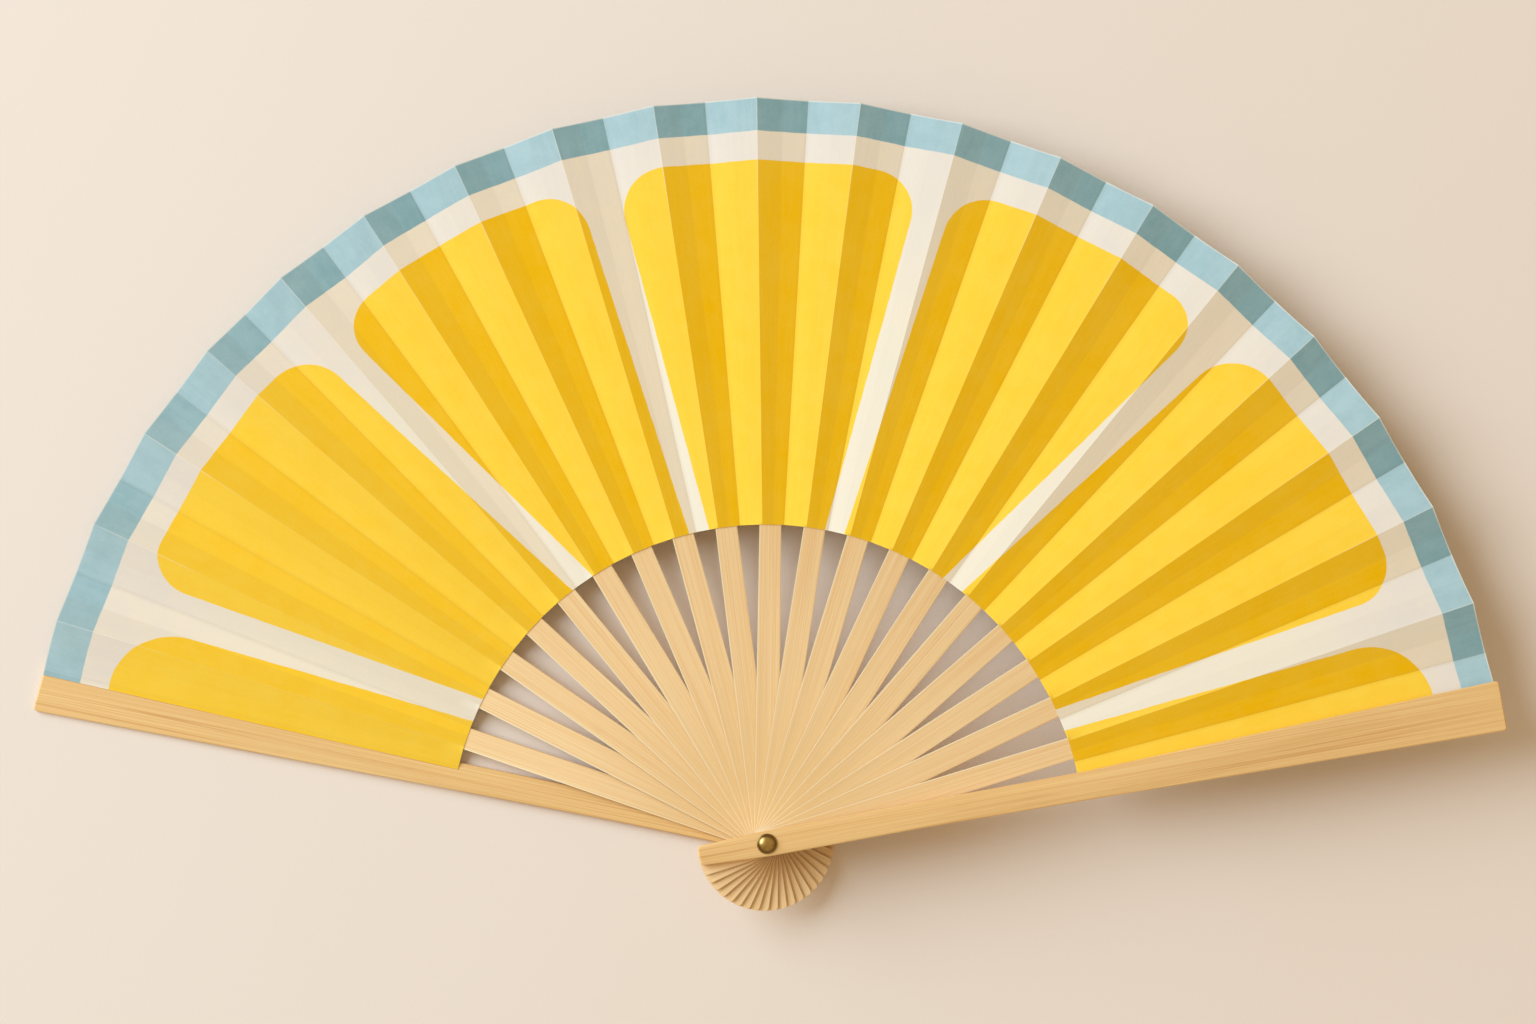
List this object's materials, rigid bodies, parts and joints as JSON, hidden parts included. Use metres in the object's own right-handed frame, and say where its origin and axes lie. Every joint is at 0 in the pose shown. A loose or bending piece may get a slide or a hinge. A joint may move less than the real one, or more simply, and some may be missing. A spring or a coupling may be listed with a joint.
{
  "type": "folding fan",
  "caption": "Open folding fan: bamboo ribs and two guards turn on one rivet and carry a pleated paper leaf with a printed citrus pattern.",
  "frame": {"origin": "on the rivet's axis, at the flat underside of the back guard, which lies on the table", "axes": "+Z up along the rivet, out of the front of the fan; +X to the right of the open fan as seen from its front, along its longest extent; +Y up through the middle of the leaf, away from the rivet"},
  "size_m": [0.4162, 0.2301, 0.0233],
  "materials": {
    "guard_bamboo": "smooth-planed bamboo, light varnish, fine lengthwise grain",
    "rib_bamboo": "smooth split bamboo, fine lengthwise grain, satin",
    "leaf_paper": "matte printed paper, pleated",
    "rivet_brass": "polished turned brass"
  },
  "bodies": {
    "back_guard": {"guard_back": "guard_bamboo", "rivet": "rivet_brass"},
    "front_guard": {"guard_front": "guard_bamboo"},
    "rib_01": {"rib_01": "rib_bamboo", "leaf_panel_01": "leaf_paper"},
    "rib_02": {"rib_02": "rib_bamboo", "leaf_panel_02": "leaf_paper"},
    "rib_03": {"rib_03": "rib_bamboo", "leaf_panel_03": "leaf_paper"},
    "rib_04": {"rib_04": "rib_bamboo", "leaf_panel_04": "leaf_paper"},
    "rib_05": {"rib_05": "rib_bamboo", "leaf_panel_05": "leaf_paper"},
    "rib_06": {"rib_06": "rib_bamboo", "leaf_panel_06": "leaf_paper"},
    "rib_07": {"rib_07": "rib_bamboo", "leaf_panel_07": "leaf_paper"},
    "rib_08": {"rib_08": "rib_bamboo", "leaf_panel_08": "leaf_paper"},
    "rib_09": {"rib_09": "rib_bamboo", "leaf_panel_09": "leaf_paper"},
    "rib_10": {"rib_10": "rib_bamboo", "leaf_panel_10": "leaf_paper"},
    "rib_11": {"rib_11": "rib_bamboo", "leaf_panel_11": "leaf_paper"},
    "rib_12": {"rib_12": "rib_bamboo", "leaf_panel_12": "leaf_paper"},
    "rib_13": {"rib_13": "rib_bamboo", "leaf_panel_13": "leaf_paper"},
    "rib_14": {"rib_14": "rib_bamboo", "leaf_panel_14": "leaf_paper"},
    "rib_15": {"rib_15": "rib_bamboo", "leaf_panel_15": "leaf_paper"},
    "rib_16": {"rib_16": "rib_bamboo", "leaf_panel_16": "leaf_paper"},
    "rib_17": {"rib_17": "rib_bamboo", "leaf_panel_17": "leaf_paper"},
    "rib_18": {"rib_18": "rib_bamboo", "leaf_panel_18": "leaf_paper"},
    "rib_19": {"rib_19": "rib_bamboo", "leaf_end_pleat": "leaf_paper"},
    "fold_00": {"leaf_fold_00": "leaf_paper"},
    "fold_01": {"leaf_fold_01": "leaf_paper"},
    "fold_02": {"leaf_fold_02": "leaf_paper"},
    "fold_03": {"leaf_fold_03": "leaf_paper"},
    "fold_04": {"leaf_fold_04": "leaf_paper"},
    "fold_05": {"leaf_fold_05": "leaf_paper"},
    "fold_06": {"leaf_fold_06": "leaf_paper"},
    "fold_07": {"leaf_fold_07": "leaf_paper"},
    "fold_08": {"leaf_fold_08": "leaf_paper"},
    "fold_09": {"leaf_fold_09": "leaf_paper"},
    "fold_10": {"leaf_fold_10": "leaf_paper"},
    "fold_11": {"leaf_fold_11": "leaf_paper"},
    "fold_12": {"leaf_fold_12": "leaf_paper"},
    "fold_13": {"leaf_fold_13": "leaf_paper"},
    "fold_14": {"leaf_fold_14": "leaf_paper"},
    "fold_15": {"leaf_fold_15": "leaf_paper"},
    "fold_16": {"leaf_fold_16": "leaf_paper"},
    "fold_17": {"leaf_fold_17": "leaf_paper"},
    "fold_18": {"leaf_fold_18": "leaf_paper"}
  },
  "joints": [
    {"name": "fan_closing", "type": "hinge", "parent": "back_guard", "child": "front_guard", "pos_m": [0, 0, 0], "axis": [0, 0, 1], "range_deg": [0, 157.9]},
    {"name": "rib_01_turn", "type": "hinge", "parent": "back_guard", "child": "rib_01", "pos_m": [0, 0, 0], "axis": [0, 0, 1], "range_deg": [0, 7.4]},
    {"name": "rib_02_turn", "type": "hinge", "parent": "back_guard", "child": "rib_02", "pos_m": [0, 0, 0], "axis": [0, 0, 1], "range_deg": [0, 15.4]},
    {"name": "rib_03_turn", "type": "hinge", "parent": "back_guard", "child": "rib_03", "pos_m": [0, 0, 0], "axis": [0, 0, 1], "range_deg": [0, 23.4]},
    {"name": "rib_04_turn", "type": "hinge", "parent": "back_guard", "child": "rib_04", "pos_m": [0, 0, 0], "axis": [0, 0, 1], "range_deg": [0, 31.4]},
    {"name": "rib_05_turn", "type": "hinge", "parent": "back_guard", "child": "rib_05", "pos_m": [0, 0, 0], "axis": [0, 0, 1], "range_deg": [0, 39.4]},
    {"name": "rib_06_turn", "type": "hinge", "parent": "back_guard", "child": "rib_06", "pos_m": [0, 0, 0], "axis": [0, 0, 1], "range_deg": [0, 47.4]},
    {"name": "rib_07_turn", "type": "hinge", "parent": "back_guard", "child": "rib_07", "pos_m": [0, 0, 0], "axis": [0, 0, 1], "range_deg": [0, 55.4]},
    {"name": "rib_08_turn", "type": "hinge", "parent": "back_guard", "child": "rib_08", "pos_m": [0, 0, 0], "axis": [0, 0, 1], "range_deg": [0, 63.4]},
    {"name": "rib_09_turn", "type": "hinge", "parent": "back_guard", "child": "rib_09", "pos_m": [0, 0, 0], "axis": [0, 0, 1], "range_deg": [0, 71.4]},
    {"name": "rib_10_turn", "type": "hinge", "parent": "back_guard", "child": "rib_10", "pos_m": [0, 0, 0], "axis": [0, 0, 1], "range_deg": [0, 79.4]},
    {"name": "rib_11_turn", "type": "hinge", "parent": "back_guard", "child": "rib_11", "pos_m": [0, 0, 0], "axis": [0, 0, 1], "range_deg": [0, 87.4]},
    {"name": "rib_12_turn", "type": "hinge", "parent": "back_guard", "child": "rib_12", "pos_m": [0, 0, 0], "axis": [0, 0, 1], "range_deg": [0, 95.4]},
    {"name": "rib_13_turn", "type": "hinge", "parent": "back_guard", "child": "rib_13", "pos_m": [0, 0, 0], "axis": [0, 0, 1], "range_deg": [0, 103.4]},
    {"name": "rib_14_turn", "type": "hinge", "parent": "back_guard", "child": "rib_14", "pos_m": [0, 0, 0], "axis": [0, 0, 1], "range_deg": [0, 111.4]},
    {"name": "rib_15_turn", "type": "hinge", "parent": "back_guard", "child": "rib_15", "pos_m": [0, 0, 0], "axis": [0, 0, 1], "range_deg": [0, 119.4]},
    {"name": "rib_16_turn", "type": "hinge", "parent": "back_guard", "child": "rib_16", "pos_m": [0, 0, 0], "axis": [0, 0, 1], "range_deg": [0, 127.4]},
    {"name": "rib_17_turn", "type": "hinge", "parent": "back_guard", "child": "rib_17", "pos_m": [0, 0, 0], "axis": [0, 0, 1], "range_deg": [0, 135.4]},
    {"name": "rib_18_turn", "type": "hinge", "parent": "back_guard", "child": "rib_18", "pos_m": [0, 0, 0], "axis": [0, 0, 1], "range_deg": [0, 143.4]},
    {"name": "rib_19_turn", "type": "hinge", "parent": "back_guard", "child": "rib_19", "pos_m": [0, 0, 0], "axis": [0, 0, 1], "range_deg": [0, 151.4], "deforming": ["leaf_end_pleat"]},
    {"name": "fold_00_crease", "type": "hinge", "parent": "back_guard", "child": "fold_00", "pos_m": [0, 0, 0.0023], "axis": [0.9724, -0.2334, 0.0047], "range_deg": [0, 155], "deforming": ["leaf_fold_00"]},
    {"name": "fold_01_crease", "type": "hinge", "parent": "rib_01", "child": "fold_01", "pos_m": [0, 0, 0.0032], "axis": [0.931, -0.3649, 0.0085], "range_deg": [0, 150], "deforming": ["leaf_fold_01"]},
    {"name": "fold_02_crease", "type": "hinge", "parent": "rib_02", "child": "fold_02", "pos_m": [0, 0, 0.0041], "axis": [0.8712, -0.4909, 0.0085], "range_deg": [0, 150], "deforming": ["leaf_fold_02"]},
    {"name": "fold_03_crease", "type": "hinge", "parent": "rib_03", "child": "fold_03", "pos_m": [0, 0, 0.005], "axis": [0.7944, -0.6074, 0.0085], "range_deg": [0, 150], "deforming": ["leaf_fold_03"]},
    {"name": "fold_04_crease", "type": "hinge", "parent": "rib_04", "child": "fold_04", "pos_m": [0, 0, 0.0059], "axis": [0.7021, -0.712, 0.0085], "range_deg": [0, 150], "deforming": ["leaf_fold_04"]},
    {"name": "fold_05_crease", "type": "hinge", "parent": "rib_05", "child": "fold_05", "pos_m": [0, 0, 0.0068], "axis": [0.5962, -0.8028, 0.0085], "range_deg": [0, 150], "deforming": ["leaf_fold_05"]},
    {"name": "fold_06_crease", "type": "hinge", "parent": "rib_06", "child": "fold_06", "pos_m": [0, 0, 0.0077], "axis": [0.4787, -0.878, 0.0085], "range_deg": [0, 150], "deforming": ["leaf_fold_06"]},
    {"name": "fold_07_crease", "type": "hinge", "parent": "rib_07", "child": "fold_07", "pos_m": [0, 0, 0.0086], "axis": [0.3518, -0.936, 0.0085], "range_deg": [0, 150], "deforming": ["leaf_fold_07"]},
    {"name": "fold_08_crease", "type": "hinge", "parent": "rib_08", "child": "fold_08", "pos_m": [0, 0, 0.0095], "axis": [0.2181, -0.9759, 0.0085], "range_deg": [0, 150], "deforming": ["leaf_fold_08"]},
    {"name": "fold_09_crease", "type": "hinge", "parent": "rib_09", "child": "fold_09", "pos_m": [0, 0, 0.0104], "axis": [0.0802, -0.9967, 0.0085], "range_deg": [0, 150], "deforming": ["leaf_fold_09"]},
    {"name": "fold_10_crease", "type": "hinge", "parent": "rib_10", "child": "fold_10", "pos_m": [0, 0, 0.0113], "axis": [-0.0593, -0.9982, 0.0085], "range_deg": [0, 150], "deforming": ["leaf_fold_10"]},
    {"name": "fold_11_crease", "type": "hinge", "parent": "rib_11", "child": "fold_11", "pos_m": [0, 0, 0.0122], "axis": [-0.1977, -0.9802, 0.0085], "range_deg": [0, 150], "deforming": ["leaf_fold_11"]},
    {"name": "fold_12_crease", "type": "hinge", "parent": "rib_12", "child": "fold_12", "pos_m": [0, 0, 0.0131], "axis": [-0.3321, -0.9432, 0.0085], "range_deg": [0, 150], "deforming": ["leaf_fold_12"]},
    {"name": "fold_13_crease", "type": "hinge", "parent": "rib_13", "child": "fold_13", "pos_m": [0, 0, 0.014], "axis": [-0.4602, -0.8878, 0.0085], "range_deg": [0, 150], "deforming": ["leaf_fold_13"]},
    {"name": "fold_14_crease", "type": "hinge", "parent": "rib_14", "child": "fold_14", "pos_m": [0, 0, 0.0149], "axis": [-0.5793, -0.8151, 0.0085], "range_deg": [0, 150], "deforming": ["leaf_fold_14"]},
    {"name": "fold_15_crease", "type": "hinge", "parent": "rib_15", "child": "fold_15", "pos_m": [0, 0, 0.0158], "axis": [-0.6871, -0.7265, 0.0085], "range_deg": [0, 150], "deforming": ["leaf_fold_15"]},
    {"name": "fold_16_crease", "type": "hinge", "parent": "rib_16", "child": "fold_16", "pos_m": [0, 0, 0.0167], "axis": [-0.7815, -0.6239, 0.0085], "range_deg": [0, 150], "deforming": ["leaf_fold_16"]},
    {"name": "fold_17_crease", "type": "hinge", "parent": "rib_17", "child": "fold_17", "pos_m": [0, 0, 0.0176], "axis": [-0.8607, -0.509, 0.0085], "range_deg": [0, 150], "deforming": ["leaf_fold_17"]},
    {"name": "fold_18_crease", "type": "hinge", "parent": "rib_18", "child": "fold_18", "pos_m": [0, 0, 0.0185], "axis": [-0.9232, -0.3843, 0.0085], "range_deg": [0, 150], "deforming": ["leaf_fold_18"]}
  ],
  "couplings": [
    {"joint": "rib_01_turn", "follows": "fan_closing", "ratio": 0.046865},
    {"joint": "rib_02_turn", "follows": "fan_closing", "ratio": 0.09753},
    {"joint": "rib_03_turn", "follows": "fan_closing", "ratio": 0.14819},
    {"joint": "rib_04_turn", "follows": "fan_closing", "ratio": 0.19886},
    {"joint": "rib_05_turn", "follows": "fan_closing", "ratio": 0.24952},
    {"joint": "rib_06_turn", "follows": "fan_closing", "ratio": 0.30019},
    {"joint": "rib_07_turn", "follows": "fan_closing", "ratio": 0.35085},
    {"joint": "rib_08_turn", "follows": "fan_closing", "ratio": 0.40152},
    {"joint": "rib_09_turn", "follows": "fan_closing", "ratio": 0.45218},
    {"joint": "rib_10_turn", "follows": "fan_closing", "ratio": 0.50285},
    {"joint": "rib_11_turn", "follows": "fan_closing", "ratio": 0.55351},
    {"joint": "rib_12_turn", "follows": "fan_closing", "ratio": 0.60418},
    {"joint": "rib_13_turn", "follows": "fan_closing", "ratio": 0.65484},
    {"joint": "rib_14_turn", "follows": "fan_closing", "ratio": 0.70551},
    {"joint": "rib_15_turn", "follows": "fan_closing", "ratio": 0.75617},
    {"joint": "rib_16_turn", "follows": "fan_closing", "ratio": 0.80684},
    {"joint": "rib_17_turn", "follows": "fan_closing", "ratio": 0.8575},
    {"joint": "rib_18_turn", "follows": "fan_closing", "ratio": 0.90817},
    {"joint": "rib_19_turn", "follows": "fan_closing", "ratio": 0.95883},
    {"joint": "fold_00_crease", "follows": "fan_closing", "ratio": 0.98163},
    {"joint": "fold_01_crease", "follows": "fan_closing", "ratio": 0.94997},
    {"joint": "fold_02_crease", "follows": "fan_closing", "ratio": 0.94997},
    {"joint": "fold_03_crease", "follows": "fan_closing", "ratio": 0.94997},
    {"joint": "fold_04_crease", "follows": "fan_closing", "ratio": 0.94997},
    {"joint": "fold_05_crease", "follows": "fan_closing", "ratio": 0.94997},
    {"joint": "fold_06_crease", "follows": "fan_closing", "ratio": 0.94997},
    {"joint": "fold_07_crease", "follows": "fan_closing", "ratio": 0.94997},
    {"joint": "fold_08_crease", "follows": "fan_closing", "ratio": 0.94997},
    {"joint": "fold_09_crease", "follows": "fan_closing", "ratio": 0.94997},
    {"joint": "fold_10_crease", "follows": "fan_closing", "ratio": 0.94997},
    {"joint": "fold_11_crease", "follows": "fan_closing", "ratio": 0.94997},
    {"joint": "fold_12_crease", "follows": "fan_closing", "ratio": 0.94997},
    {"joint": "fold_13_crease", "follows": "fan_closing", "ratio": 0.94997},
    {"joint": "fold_14_crease", "follows": "fan_closing", "ratio": 0.94997},
    {"joint": "fold_15_crease", "follows": "fan_closing", "ratio": 0.94997},
    {"joint": "fold_16_crease", "follows": "fan_closing", "ratio": 0.94997},
    {"joint": "fold_17_crease", "follows": "fan_closing", "ratio": 0.94997},
    {"joint": "fold_18_crease", "follows": "fan_closing", "ratio": 0.94997}
  ]
}
